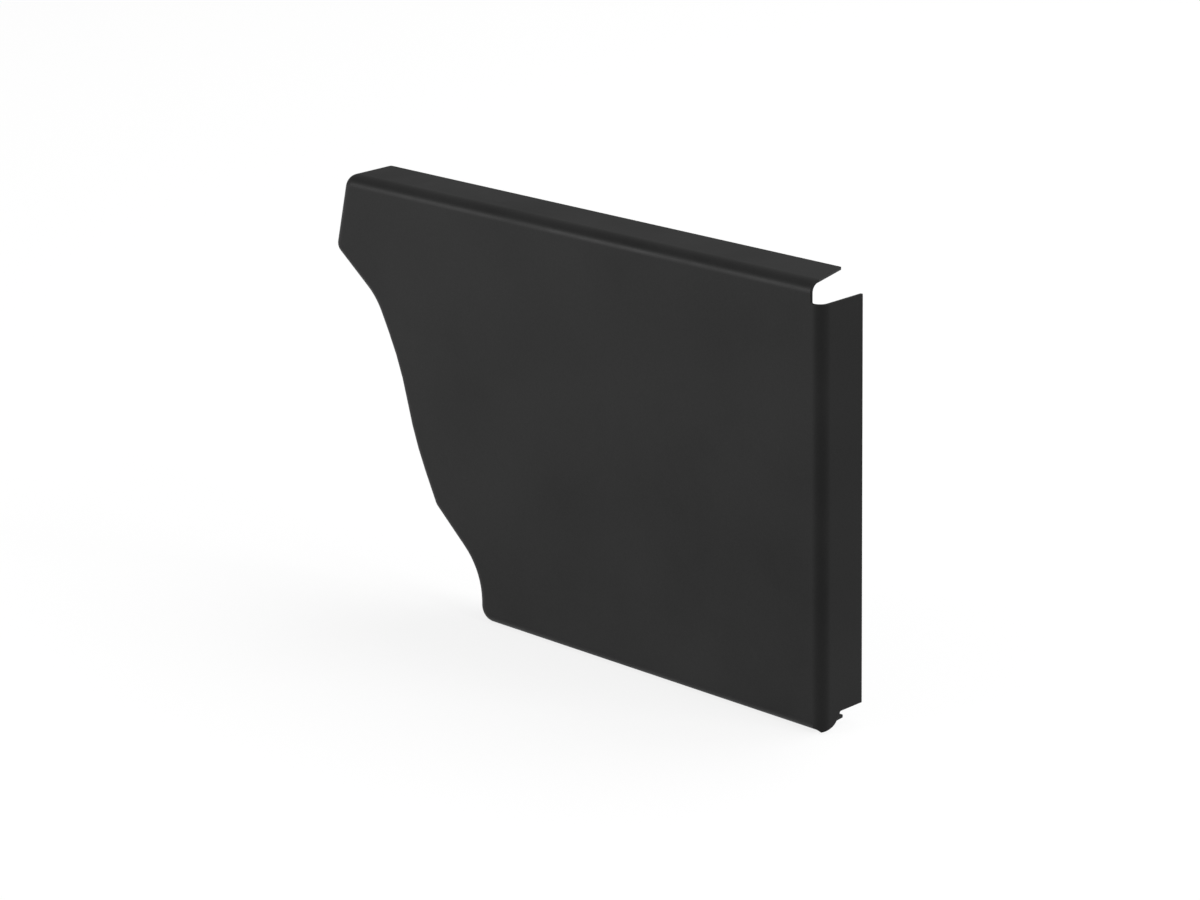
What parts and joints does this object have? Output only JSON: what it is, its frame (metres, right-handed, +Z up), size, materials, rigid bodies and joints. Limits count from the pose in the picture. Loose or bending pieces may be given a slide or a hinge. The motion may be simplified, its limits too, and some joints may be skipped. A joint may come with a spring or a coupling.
{
  "type": "gutter end cap",
  "caption": "Right-hand end cap for a roof gutter with an ogee front: a flat plate with flanges folded back round its outline that slip over the gutter's end, notched at the back corners.",
  "frame": {"origin": "middle of the underside of the box, below the bottom flange", "axes": "+Z up as the gutter hangs, +X from the front lip to the back wall, +Y from the outer plate into the gutter"},
  "size_m": [0.1288, 0.011, 0.0847],
  "materials": {
    "black_paint": "satin"
  },
  "bodies": {
    "root": {"end_cap": "black_paint"}
  },
  "joints": []
}
